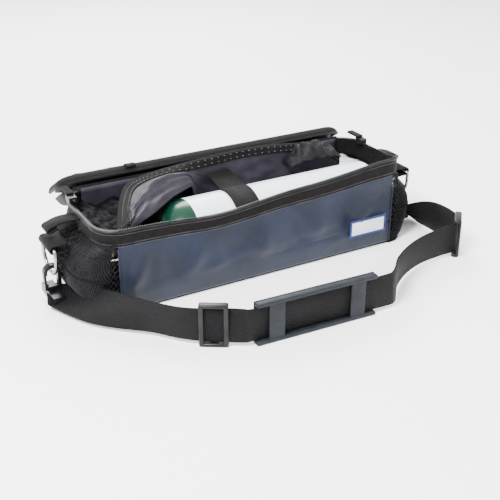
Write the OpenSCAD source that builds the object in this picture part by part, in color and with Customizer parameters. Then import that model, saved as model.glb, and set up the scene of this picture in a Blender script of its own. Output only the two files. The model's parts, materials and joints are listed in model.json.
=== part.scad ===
// Horizontal shoulder bag for a small oxygen cylinder, shown open with its cylinder strapped in.
// X runs along the bag, -Y is the navy front, +Z is up, and the origin is the middle of the base.

/* [Bag] */
// Length of the front and rear panels
panel_l = 352; // [340:1:360]
// Depth of the bag over its panels
bag_d = 120; // [118:1:124]
// Height of the mouth rim
rim_h = 100; // [96:1:104]
// How far each mesh end bulges past the panels
end_bulge = 46; // [40:1:50]
// Thickness of the sewn shell fabric
shell_t = 2; // [1.5:0.5:2.5]
// Thickness of the foam lining
foam_t = 4; // [3:1:5]
// Height of the dark band that carries the zip
band_h = 18; // [14:1:20]
// Height of the zip teeth above the band
chain_h = 4; // [3:0.5:5]

/* [Lid] */
// Thickness of one padded lid half
lid_t = 7; // [6:0.5:8]
// How far the open lid droops behind the bag, in degrees
lid_droop = 30; // [25:1:35]

/* [Cylinder] */
// Outer diameter of the gas cylinder
gas_d = 81.5; // [80:0.5:82]
// Length of the cylinder without its valve
gas_l = 295; // [285:1:300]
// Where the round shoulder meets the straight tube
shoulder_x = -69; // [-75:1:-65]
// Length of the round shoulder
shoulder_l = 42; // [38:1:44]

/* [Webbing] */
// Width of the shoulder webbing
web_w = 38; // [36:1:40]
// Thickness of the shoulder webbing
web_t = 2; // [1.6:0.2:2.4]
// Width of the strap over the cylinder
retainer_w = 32; // [28:1:36]
// Where the strap crosses the cylinder
retainer_x = -4; // [-10:1:4]
// Length of the shoulder pad
pad_l = 142; // [134:1:146]
// Width of the shoulder pad
pad_w = 48; // [46:1:50]

/* [Hidden] */

$fn = 32;
gap = 0.4;                        // clearance between moving pieces
seam = 0.1;                       // sliver between sewn neighbours
foam_board = 4;                   // margin round the stiffening board
half_l = panel_l / 2;
half_d = bag_d / 2;
mouth_l = half_l + 18;            // half length of the mouth rim
mouth_r = 26;                     // corner radius of the mouth rim
band_z = rim_h - band_h;
hinge_y = half_d + 1;
hinge_z = rim_h + chain_h + 0.8;
lid_edge = hinge_y - 5;
gas_r = gas_d / 2;
floor_t = 4;
gas_z = floor_t + gap + gas_r;
neck_x = shoulder_x - shoulder_l;
neck_r = 14;
post_l = 44;                      // brass post beyond the neck
post_x = neck_x - post_l;
web_z = pad_w / 2;
anchor_y = half_d - shell_t - foam_t - 3;
anchor_z = rim_h - 8;
ring_z = 70;
ring_x = half_l + end_bulge + 9;
wire_r = 2;
slider_y = 29;

// A flat plate outline with round corners
module round_plan(l, d, r) {
    union() {
        square([2 * l, 2 * (d - r)], center = true);
        square([2 * (l - r), 2 * d], center = true);
        for (sx = [-1, 1], sy = [-1, 1]) translate([sx * (l - r), sy * (d - r)]) circle(r);
    }
}

// The rim outline as a thin ring, cut to one end of the bag
module end_ring(side, grow, t) {
    intersection() {
        difference() {
            round_plan(mouth_l + grow, half_d + grow, mouth_r);
            round_plan(mouth_l + grow - t, half_d + grow - t, mouth_r - t);
        }
        translate([side * (half_l + 60), 0]) square([120 - seam, bag_d + 20], center = true);
    }
}

module wall(y, t, z0, z1, l) translate([-l / 2, y, z0]) cube([l, t, z1 - z0]);

// ---- shell of the bag ----
module front_panel() color("#3c475c") wall(-half_d, shell_t, shell_t, band_z, panel_l);
module rear_panel() color("#3c475c") wall(half_d - shell_t, shell_t, shell_t, band_z, panel_l);
module front_lining() color("#4a4652")
    wall(-half_d + shell_t, foam_t, floor_t, band_z, panel_l - 4);
module rear_lining() color("#4a4652")
    wall(half_d - shell_t - foam_t, foam_t, floor_t, rim_h, panel_l - 4);
module base_panel() color("#3c475c")
    translate([-half_l, -half_d, 0]) cube([panel_l, bag_d, shell_t]);
module base_board() color("#222222")
    translate([-half_l + foam_board, -half_d + 2 * foam_board, shell_t])
        cube([panel_l - 2 * foam_board, bag_d - 4 * foam_board, floor_t - shell_t]);

// One slice of the bulging mesh end
module end_slice(z, reach, t, inset) {
    depth = half_d - inset;
    translate([0, 0, z]) linear_extrude(t) intersection() {
        round_plan(half_l + reach - inset, depth, 42);
        translate([half_l, 0]) square([200, bag_d + 10], center = true);
    }
}

module end_body(inset) {
    hull() {
        end_slice(inset, end_bulge - 18, 1, inset);
        end_slice(22, end_bulge - 2, 30, inset);
        end_slice(band_z - 1, 19, 1 + inset * 0.6, inset);
    }
}

module mesh_end(side) {
    mirror([side < 0 ? 1 : 0, 0, 0]) difference() {
        end_body(0);
        end_body(shell_t);
        translate([half_l - 100 + seam, 0, 50]) cube([200, 200, 200], center = true);
    }
}
module left_mesh_end() color("#1b1a1d") mesh_end(-1);
module right_mesh_end() color("#1b1a1d") mesh_end(1);

// ---- rim: dark bands and zip teeth ----
module front_zip_band() color("#3a3535")
    wall(-half_d, shell_t, band_z, rim_h, panel_l);
module rear_top_band() color("#3a3535")
    wall(half_d - shell_t, shell_t, band_z, rim_h, panel_l);
module end_band(side) translate([0, 0, band_z + 2.5])
    linear_extrude(band_h - 2.5) end_ring(side, 0, shell_t);
module left_end_band() color("#3a3535") end_band(-1);
module right_end_band() color("#3a3535") end_band(1);
module front_zip_chain() color("#2c2a2c")
    wall(-half_d, 2.4, rim_h, rim_h + chain_h, panel_l);
module end_chain(side) translate([0, 0, rim_h])
    linear_extrude(chain_h) end_ring(side, 0, 2.4);
module left_zip_chain() color("#2c2a2c") end_chain(-1);
module right_zip_chain() color("#2c2a2c") end_chain(1);

// The padded sleeve flap that crosses over the valve end of the cylinder
module inner_sleeve() color("#4a4652")
    translate([0, 0, gas_z + 22]) linear_extrude(rim_h - gas_z - 24)
    polygon([[-108, 51], [-104, 48], [-166, -52], [-171, -50]]);

module label_patch() color("#dfe3ea")
    translate([half_l - 62, -half_d - 0.8, 22]) cube([52, 0.8, 22]);
module hook_patch() color("#222222")
    translate([retainer_x - 15, -half_d + shell_t + foam_t, 34]) cube([30, 1.5, 34]);

// ---- end tabs and webbing loops ----
// A webbing loop that holds the straight bar of a D-ring
module ring_loop(side) translate([side * (ring_x + 0.4), 0, ring_z]) {
    difference() {
        rotate([90, 0, 0]) cylinder(r = wire_r + 2.6, h = 36, center = true);
        rotate([90, 0, 0]) cylinder(r = wire_r + 0.4, h = 40, center = true);
    }
    translate([-side * 9.2 - 5, -18, -6]) cube([10, 36, 12]);
}
module trimmed_loop(side) {
    difference() {
        ring_loop(side);
        mirror([side < 0 ? 1 : 0, 0, 0]) end_body(-0.2);
    }
}
module left_ring_loop() color("#454346") trimmed_loop(-1);
module right_ring_loop() color("#454346") trimmed_loop(1);

module end_tab(side, reach, y) {
    translate([side * (mouth_l + gap), y, 0]) rotate([0, 0, side > 0 ? 0 : 180])
    translate([0, -12, 0]) {
        translate([0, 0, rim_h - 12]) cube([reach, 24, 2]);
        translate([reach - 2, 0, rim_h - 17]) cube([4, 24, 9]);
    }
}
module left_end_tab() color("#454346") end_tab(-1, 44, 8);
module right_end_tab() color("#454346") end_tab(1, 34, 8);

// ---- lid in two padded halves, folded open behind the bag ----
module about(y, z, a) translate([0, y, z]) rotate([a, 0, 0]) translate([0, -y, -z]) children();
module lid_open() about(hinge_y, hinge_z, -180 - lid_droop) children();
module lid_folded() lid_open() about(0, hinge_z, 180) children();
module lid_plan(y0, y1, inset) intersection() {
    round_plan(mouth_l - inset, half_d - inset, mouth_r);
    translate([-300, y0]) square([600, y1 - y0]);
}
module lid_slab(y0, y1, inset) translate([0, 0, hinge_z + gap])
    linear_extrude(lid_t - gap) lid_plan(y0, y1, inset);
module lid_rear_half() color("#3a3840") lid_open() lid_slab(gap, lid_edge, 7);
module lid_front_half() color("#3a3840") lid_folded() lid_slab(-half_d + 14, -gap, 14);
module lid_zip_band() color("#3a3535") lid_folded() difference() {
    lid_slab(-half_d + 2.4, -gap, 2.4);
    translate([0, 0, hinge_z - 1]) linear_extrude(20) lid_plan(-half_d + 14, 1, 14);
}
module lid_zip_chain() color("#2c2a2c") lid_folded() translate([0, 0, hinge_z + gap])
    linear_extrude(3) difference() {
        lid_plan(-half_d, -gap, 0);
        lid_plan(-half_d, 1, 2.4);
    }

// ---- strap over the cylinder ----
module retaining_strap() color("#2a282a") {
    r0 = gas_r + gap;
    r1 = r0 + web_t;
    tangent = 76;
    lead = [r1 * cos(tangent), gas_z + r1 * sin(tangent)];
    low = [r0 * cos(tangent), gas_z + r0 * sin(tangent)];
    arc = [for (a = [tangent : 4 : 164]) [r1 * cos(a), gas_z + r1 * sin(a)]];
    back = [for (a = [164 : -4 : tangent]) [r0 * cos(a), gas_z + r0 * sin(a)]];
    translate([retainer_x + retainer_w / 2, 0, 0]) rotate([90, 0, -90]) linear_extrude(retainer_w)
        mirror([1, 0]) polygon(concat([[anchor_y, anchor_z - web_t], [anchor_y, anchor_z]], arc, back));
}

// ---- gas cylinder, lying with its valve to the left ----
module along_x(x) translate([x, 0, gas_z]) rotate([0, 90, 0]) children();
module cylinder_shell() color("#dfe6ee") along_x(neck_x) rotate_extrude($fn = 96) difference() {
    union() {
        translate([0, shoulder_l]) square([gas_r, gas_l - shoulder_l - 8]);
        translate([0, gas_l - 8]) square([gas_r - 8, 8]);
        translate([gas_r - 8, gas_l - 8]) intersection() {
            circle(8);
            square(8);
        }
        translate([0, 0]) square([neck_r, shoulder_l]);
        intersection() {
            translate([0, shoulder_l]) scale(gas_r) circle(1, $fn = 96);
            translate([0, 1]) square([gas_r, shoulder_l]);
        }
    }
    translate([-1, -1]) square([9, shoulder_l + 1]);
    translate([-1, shoulder_l]) square([gas_r - 3, gas_l - shoulder_l - 12]);
}
module post_valve() color("#b5894a") difference() {
    union() {
        along_x(neck_x - 6) cylinder(r = 13, h = 6, $fn = 6);
        along_x(neck_x) cylinder(r = 7.9, h = 18);
        along_x(post_x) cylinder(r = 8, h = post_l);
        translate([post_x + 2, -11, gas_z - 9.5]) cube([32, 22, 19]);
    }
    translate([post_x + 18, 0, gas_z]) rotate([90, 0, 0]) cylinder(r = 3.2, h = 14);
    for (dx = [-6.5, 6.5])
        translate([post_x + 18 + dx, -5.5, gas_z - 6]) rotate([90, 0, 0]) cylinder(r = 2.38, h = 8);
    along_x(post_x - 1) cylinder(r = 4.6, h = 7);
}
module valve_seal() color("#c0392b") translate([post_x + 18, -11, gas_z]) rotate([90, 0, 0])
    difference() {
        cylinder(r = 6, h = 1.6);
        translate([0, 0, -1]) cylinder(r = 3.2, h = 4);
    }
module packing_nut() color("#c79a55") along_x(post_x - 7) difference() {
    cylinder(r = 8, h = 7, $fn = 6);
    translate([0, 0, -1]) cylinder(r = 3.05, h = 9);
}
module valve_stem() color("#d8dade") along_x(post_x - 15) {
    cylinder(r = 3, h = 18);
    translate([-3.4, -3.4, -1]) cube([6.8, 6.8, 7]);
}

// ---- metal rings and hooks ----
// A D-ring hanging from its straight bar, which lies along Y
module d_ring(side) translate([side * (ring_x + 0.4), 0, ring_z]) {
    rotate([90, 0, 0]) cylinder(r = wire_r, h = 42, center = true);
    for (sy = [-1, 1]) translate([0, sy * 21, -12]) cylinder(r = wire_r, h = 12);
    for (sy = [-1, 1]) translate([0, sy * 21, 0]) sphere(r = wire_r);
    translate([0, 0, -12]) rotate([0, 90, 0]) rotate([0, 0, -90]) rotate_extrude(angle = 180)
        translate([21, 0]) circle(r = wire_r);
}
module left_d_ring() color("#c8c8cc") d_ring(-1);
module right_d_ring() color("#c8c8cc") d_ring(1);

// A snap hook hanging below a D-ring: crook, gate and swivel eye, drawn from the ring down
hook_z = ring_z - 33;
module hook_place(side) translate([side * (ring_x + 0.4), 0, hook_z]) children();
module snap_hook(side) hook_place(side) {
    rotate([90, 0, 0]) rotate_extrude(angle = 200)
        translate([7.5, 0]) square([4, 7], center = true);
    translate([5.5, -3.5, -16]) cube([4, 7, 16.5]);
    translate([-9.5, -3.5, -16]) cube([4, 7, 4]);
    translate([-9.5, -3.5, -20]) cube([19, 7, 4.2]);
    translate([0, 0, -26]) cylinder(r = 3, h = 6.2);
    translate([0, 0, -27]) cylinder(r = 4.6, h = 1.6);
}
module hook_gate(side) hook_place(side)
    translate([-9.3, -2.6, -11.5]) cube([2.6, 5.2, 7.8]);
module swivel_eye(side) hook_place(side) {
    difference() {
        translate([-6.5, -22, -31.2]) cube([13, 44, 9.8]);
        translate([0, 0, -40]) cylinder(r = 3.1, h = 30);
        translate([0, 0, -29]) cylinder(r = 4.8, h = 4);
    }
}
module left_snap_hook() color("#1c1b1d") snap_hook(-1);
module left_hook_gate() color("#4a4850") hook_gate(-1);
module left_swivel_eye() color("#1c1b1d") swivel_eye(-1);
module right_snap_hook() color("#1c1b1d") snap_hook(1);
module right_hook_gate() color("#4a4850") hook_gate(1);
module right_swivel_eye() color("#1c1b1d") swivel_eye(1);

// ---- zip sliders, parked towards the rear on each end ----
module zip_slider(side) translate([side * (mouth_l - 1.2), slider_y, rim_h]) difference() {
    translate([-4.5, -6, 0.4]) cube([9, 12, chain_h + 2.4]);
    translate([-1.7, -10, -1]) cube([3.4, 20, chain_h + 1.5]);
}
module left_zip_slider() color("#4a4850") zip_slider(-1);
module right_zip_slider() color("#4a4850") zip_slider(1);
module zip_pull(side) translate([side * (mouth_l - 1.2), slider_y + 3, rim_h + chain_h + 4.3]) {
    rotate([0, 90, 0]) cylinder(r = 1.2, h = 8, center = true);
    translate([-4, 0, -1.2]) cube([8, 22, 2.4]);
}
module left_zip_pull() color("#454346") zip_pull(-1);
module right_zip_pull() color("#454346") zip_pull(1);

// ---- shoulder strap, standing on edge in front of the bag ----
LEFT_RUN = [[-231, -23], [-225, -40], [-212, -62], [-192, -90], [-168, -120], [-150, -142.5],
            [-133.5, -156.8]];
PAD_RUN = [[-133.5, -156.8], [-107.8, -172.9], [-95, -181.4], [-90.2, -183.98], [74, -191.3], [84, -189],
           [92, -182]];
RIGHT_RUN = [[92, -182], [110, -163], [138, -145], [170, -133], [204, -128], [224, -127]];
TURN_RUN = [[224.4, -126.73], [228, -124.3], [234, -117.7], [238, -115]];
RETURN_RUN = [[238.12, -114.41], [243, -90], [242, -58], [232, -23]];

function smooth(p, i, t) = let (
    n = len(p) - 1,
    a = p[max(i - 1, 0)], b = p[i], c = p[min(i + 1, n)], d = p[min(i + 2, n)])
    0.5 * ((2 * b) + (c - a) * t + (2 * a - 5 * b + 4 * c - d) * t * t
           + (3 * b - a - 3 * c + d) * t * t * t);
function curve(p, steps) = concat(
    [for (i = [0 : len(p) - 2], k = [0 : steps - 1]) smooth(p, i, k / steps)], [p[len(p) - 1]]);
function side_of(p, i, off) = let (
    a = p[max(i - 1, 0)], b = p[min(i + 1, len(p) - 1)], v = (b - a) / norm(b - a))
    p[i] + off * [-v[1], v[0]];

module webbing(p, steps) {
    c = curve(p, steps);
    n = len(c) - 1;
    translate([0, 0, web_z - web_w / 2]) linear_extrude(web_w) polygon(concat(
        [for (i = [0 : n]) side_of(c, i, web_t / 2)],
        [for (i = [n : -1 : 0]) side_of(c, i, -web_t / 2)]));
}
module strap_left_run() color("#454346") difference() {
    webbing(LEFT_RUN, 4);
    hook_place(-1) translate([-8, -22.5, -60]) cube([16, 45, 90]);
}
module strap_pad_run() color("#454346") webbing(PAD_RUN, 1);
module strap_right_run() color("#454346") webbing(RIGHT_RUN, 4);
module strap_return_run() color("#37353a") difference() {
    webbing(RETURN_RUN, 4);
    hook_place(1) translate([-8, -22.5, -60]) cube([16, 45, 90]);
}

// Where the pad and the buckles sit: middle point and heading of the webbing there
pad_mid = [-13, -187.42];
pad_turn = -2.58;
glide_mid = [-120.6, -164.9];
glide_turn = -32;

module on_strap(mid, turn) translate([mid[0], mid[1], 0]) rotate([0, 0, turn]) children();
module shoulder_pad() color("#4d535d") on_strap(pad_mid, pad_turn) {
    rail = (pad_w - web_w) / 2 - gap;
    translate([-pad_l / 2, web_t / 2 + gap, 0]) cube([pad_l, 4, pad_w]);
    for (z = [0, pad_w - rail])
        translate([-pad_l / 2, -web_t / 2 - 3, z]) cube([pad_l, web_t + 3.5, rail]);
    for (x = [-48, 48])
        translate([x - 9, -web_t / 2 - gap - 2.6, 0]) cube([18, 2.6, pad_w]);
}
module tri_glide() {
    for (z = [0, pad_w - 4]) translate([-15, -4.3, z]) cube([30, 8.6, 4]);
    for (x = [-15, 10]) translate([x, -4.3, 0]) cube([5, 3, pad_w]);
    translate([-5, web_t / 2 + gap, 0]) cube([10, 3, pad_w]);
}
module left_tri_glide() color("#4a4850") on_strap(glide_mid, glide_turn) tri_glide();
module right_tri_glide() color("#4a4850") on_strap([231, -121], 48) {
    for (z = [0, pad_w - 4]) translate([-15, -4.3, z]) cube([30, 8.6, 4]);
    for (x = [-15, 10]) translate([x, -4.3, 4]) cube([5, 2.4, pad_w - 8]);
    translate([-4, web_t / 2 + gap, 4]) cube([8, 3, pad_w - 8]);
}
module strap_turn_run() color("#454346") webbing(TURN_RUN, 1);

front_panel();
front_lining();
rear_panel();
rear_lining();
base_panel();
base_board();
left_mesh_end();
right_mesh_end();
front_zip_band();
rear_top_band();
left_end_band();
right_end_band();
front_zip_chain();
left_zip_chain();
right_zip_chain();
inner_sleeve();
label_patch();
hook_patch();
left_ring_loop();
right_ring_loop();
left_end_tab();
right_end_tab();
lid_rear_half();
lid_front_half();
lid_zip_band();
lid_zip_chain();
retaining_strap();
cylinder_shell();
post_valve();
valve_seal();
packing_nut();
valve_stem();
left_d_ring();
right_d_ring();
left_snap_hook();
left_hook_gate();
left_swivel_eye();
right_snap_hook();
right_hook_gate();
right_swivel_eye();
left_zip_slider();
right_zip_slider();
left_zip_pull();
right_zip_pull();
strap_left_run();
strap_pad_run();
strap_right_run();
strap_turn_run();
strap_return_run();
shoulder_pad();
left_tri_glide();
right_tri_glide();
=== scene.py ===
import json
import math

import bmesh
import bpy
from mathutils import Matrix, Vector
from mathutils.noise import noise


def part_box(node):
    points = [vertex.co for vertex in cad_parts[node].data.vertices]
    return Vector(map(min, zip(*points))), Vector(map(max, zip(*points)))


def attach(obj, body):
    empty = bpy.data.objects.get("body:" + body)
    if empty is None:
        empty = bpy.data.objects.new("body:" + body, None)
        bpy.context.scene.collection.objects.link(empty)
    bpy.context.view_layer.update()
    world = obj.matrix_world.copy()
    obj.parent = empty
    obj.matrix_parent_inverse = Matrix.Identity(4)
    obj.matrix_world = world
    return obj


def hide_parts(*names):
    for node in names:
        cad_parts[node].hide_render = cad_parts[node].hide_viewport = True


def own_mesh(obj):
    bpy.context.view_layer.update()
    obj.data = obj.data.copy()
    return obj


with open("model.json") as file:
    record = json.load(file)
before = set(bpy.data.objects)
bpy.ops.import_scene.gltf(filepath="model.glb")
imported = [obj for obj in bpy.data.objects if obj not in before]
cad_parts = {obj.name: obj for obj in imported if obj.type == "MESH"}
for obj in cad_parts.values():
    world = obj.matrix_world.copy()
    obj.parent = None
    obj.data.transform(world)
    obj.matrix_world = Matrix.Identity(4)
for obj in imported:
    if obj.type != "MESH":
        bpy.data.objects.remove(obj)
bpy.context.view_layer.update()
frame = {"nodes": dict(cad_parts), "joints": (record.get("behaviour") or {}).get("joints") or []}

bl_info = {
    "name": "Cylinder shoulder bag looks",
    "version": (1, 0, 0),
    "blender": (4, 5, 0),
    "location": "View3D > Sidebar > Cylinder bag",
    "description": "Sews, zips and finishes a soft shoulder bag round its packed frame",
    "category": "Object",
}

MM = 0.001

# ---- places read from the frame, in metres ----
PANEL_LOW, PANEL_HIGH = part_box("front_panel")
BAND_LOW, BAND_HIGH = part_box("front_zip_band")
HALF_L = PANEL_HIGH.x
HALF_D = -PANEL_LOW.y
RIM_Z = BAND_HIGH.z
MOUTH_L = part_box("right_end_band")[1].x
GAS_LOW, GAS_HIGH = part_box("cylinder_shell")
GAS_R = (GAS_HIGH.z - GAS_LOW.z) / 2
GAS_Z = (GAS_HIGH.z + GAS_LOW.z) / 2
# the enamel turns from green to white here
SHOULDER_X = GAS_LOW.x + 42 * MM
LID_HINGE = [Vector(joint["pos_m"]) for joint in frame["joints"] if joint["name"] == "lid_hinge"][0]
# how far the open lid hangs below level, and its thickness in the CAD
LID_DROOP = math.radians(30)
LID_T = 7 * MM
RING_X = (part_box("right_d_ring")[0].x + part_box("right_d_ring")[1].x) / 2
RING_Z = 70 * MM
# the shoulder webbing's width, and the height of its middle where it stands on edge
WEB_W = 38 * MM
WEB_Z = 24 * MM
# the mouth's corner radius, and the spacing of the points along the rim
MOUTH_R = 26 * MM
RIM_STEP = 2.5 * MM
# which way along x each end lies
SIDES = ((-1, "left"), (1, "right"))
ALONG_X = Vector((1, 0, 0))
ALONG_Y = Vector((0, 1, 0))


# ---- materials ----
def hex_linear(code):
    """An sRGB hex colour as linear red, green, blue and alpha."""
    parts = [int(code[i:i + 2], 16) / 255 for i in (1, 3, 5)]
    return [c / 12.92 if c <= 0.04045 else ((c + 0.055) / 1.055) ** 2.4 for c in parts] + [1.0]


def add(tree, kind, links=None, values=None, **settings):
    """Adds a shader node with its settings, its socket values and its incoming links."""
    made = tree.nodes.new(kind)
    for key, value in settings.items():
        setattr(made, key, value)
    for key, value in (values or {}).items():
        made.inputs[key].default_value = value
    for key, socket in (links or {}).items():
        tree.links.new(socket, made.inputs[key])
    return made


def start_material(name, rough, **sockets):
    """A new material: its tree and shader, with constant values set on the shader's sockets."""
    made = bpy.data.materials.new(name)
    made.use_nodes = True
    tree = made.node_tree
    shader = tree.nodes["Principled BSDF"]
    shader.inputs["Roughness"].default_value = rough
    for key, value in sockets.items():
        shader.inputs[key.replace("_", " ")].default_value = value
    return made, tree, shader


def blotch(tree, coords, scale, detail=3.0):
    """Slow random change in brightness, from 0 to 1."""
    made = add(tree, "ShaderNodeTexNoise", {"Vector": coords}, {"Scale": scale, "Detail": detail})
    return made.outputs["Fac"]


def mix_colours(tree, factor, dark, light):
    """A colour between dark and light, chosen by a factor."""
    ramp = add(tree, "ShaderNodeValToRGB", {"Fac": factor})
    ramp.color_ramp.elements[0].color = hex_linear(dark)
    ramp.color_ramp.elements[1].color = hex_linear(light)
    ramp.color_ramp.elements[0].position = 0.3
    ramp.color_ramp.elements[1].position = 0.7
    return ramp.outputs["Color"]


def maths(tree, operation, *values):
    """One step of arithmetic on numbers or sockets."""
    made = add(tree, "ShaderNodeMath", operation=operation)
    for slot, value in enumerate(values):
        if isinstance(value, (int, float)):
            made.inputs[slot].default_value = value
        else:
            tree.links.new(value, made.inputs[slot])
    return made.outputs[0]


def bump(tree, shader, height, depth):
    """Small relief, as deep as the real threads or grain."""
    made = add(tree, "ShaderNodeBump", {"Height": height}, {"Distance": depth, "Strength": 1.0})
    tree.links.new(made.outputs["Normal"], shader.inputs["Normal"])


def woven(name, dark, light, rough, pitch, depth, sheen, drift_scale, sheen_tint="#8a93a8", spec=0.12):
    """Plain woven cloth: crossing threads with slow colour drift over them."""
    made, tree, shader = start_material(name, rough, Sheen_Weight=sheen, Sheen_Roughness=0.35,
                                        Sheen_Tint=hex_linear(sheen_tint), Specular_IOR_Level=spec)
    coords = add(tree, "ShaderNodeTexCoord").outputs["Object"]
    drift = blotch(tree, coords, drift_scale)
    fine = blotch(tree, coords, 900.0, 1.0)
    factor = maths(tree, "ADD", maths(tree, "MULTIPLY", drift, 0.7), maths(tree, "MULTIPLY", fine, 0.3))
    tree.links.new(mix_colours(tree, factor, dark, light), shader.inputs["Base Color"])
    split = add(tree, "ShaderNodeSeparateXYZ", {"Vector": coords})
    turn = 2 * math.pi / pitch
    across = maths(tree, "SINE", maths(tree, "MULTIPLY", split.outputs["X"], turn))
    both = maths(tree, "ADD", split.outputs["Z"], split.outputs["Y"])
    along = maths(tree, "SINE", maths(tree, "MULTIPLY", both, turn))
    bump(tree, shader, maths(tree, "MULTIPLY", across, along), depth)
    return made


def ribbed(name, dark, light, rough, pitch, depth, slant=1.0):
    """Ribbed webbing: slanted ribs that follow the length of the band through its UV map in metres."""
    made, tree, shader = start_material(name, rough, Specular_IOR_Level=0.14)
    uv = add(tree, "ShaderNodeTexCoord").outputs["UV"]
    split = add(tree, "ShaderNodeSeparateXYZ", {"Vector": uv})
    lean = maths(tree, "ADD", split.outputs["X"], maths(tree, "MULTIPLY", split.outputs["Y"], slant))
    rib = maths(tree, "SINE", maths(tree, "MULTIPLY", lean, 2 * math.pi / pitch))
    rib01 = maths(tree, "ADD", maths(tree, "MULTIPLY", rib, 0.5), 0.5)
    drift = blotch(tree, uv, 60.0)
    factor = maths(tree, "ADD", maths(tree, "MULTIPLY", rib01, 0.55), maths(tree, "MULTIPLY", drift, 0.45))
    tree.links.new(mix_colours(tree, factor, dark, light), shader.inputs["Base Color"])
    bump(tree, shader, rib01, depth)
    return made


def moulded(name, dark, light, rough, grain=900.0, depth=0.00006, **sockets):
    """Moulded plastic or rubber: an even colour with fine spark-eroded grain."""
    made, tree, shader = start_material(name, rough, **{"Specular_IOR_Level": 0.2, **sockets})
    coords = add(tree, "ShaderNodeTexCoord").outputs["Object"]
    tree.links.new(mix_colours(tree, blotch(tree, coords, 90.0), dark, light), shader.inputs["Base Color"])
    bump(tree, shader, blotch(tree, coords, grain, 2.0), depth)
    return made


def metal(name, colour, rough):
    """Plated or turned metal with faint handling marks in its roughness."""
    made, tree, shader = start_material(name, rough, Metallic=1.0)
    coords = add(tree, "ShaderNodeTexCoord").outputs["Object"]
    shader.inputs["Base Color"].default_value = hex_linear(colour)
    marks = blotch(tree, coords, 200.0, 4.0)
    level = maths(tree, "ADD", maths(tree, "MULTIPLY", marks, 0.2), rough - 0.1)
    tree.links.new(level, shader.inputs["Roughness"])
    return made


def cylinder_enamel():
    """Gloss enamel: a white tube whose rounded shoulder is green, with a slight orange peel."""
    made, tree, shader = start_material("gloss_enamel_sprayed", 0.25, Specular_IOR_Level=0.3,
                                        Coat_Weight=0.12, Coat_Roughness=0.1)
    coords = add(tree, "ShaderNodeTexCoord").outputs["Object"]
    split = add(tree, "ShaderNodeSeparateXYZ", {"Vector": coords})
    side = maths(tree, "GREATER_THAN", split.outputs["X"], SHOULDER_X)
    green = mix_colours(tree, blotch(tree, coords, 25.0), "#011c13", "#033323")
    white = mix_colours(tree, blotch(tree, coords, 12.0), "#d3dae4", "#e8ecf2")
    both = add(tree, "ShaderNodeMix", {"Factor": side}, data_type="RGBA")
    for slot in both.inputs:
        if slot.name == "A" and slot.type == "RGBA":
            tree.links.new(green, slot)
        if slot.name == "B" and slot.type == "RGBA":
            tree.links.new(white, slot)
    colour = [out for out in both.outputs if out.type == "RGBA"][0]
    tree.links.new(colour, shader.inputs["Base Color"])
    bump(tree, shader, blotch(tree, coords, 300.0, 1.0), 0.00002)
    return made


MATERIALS = {}


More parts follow.
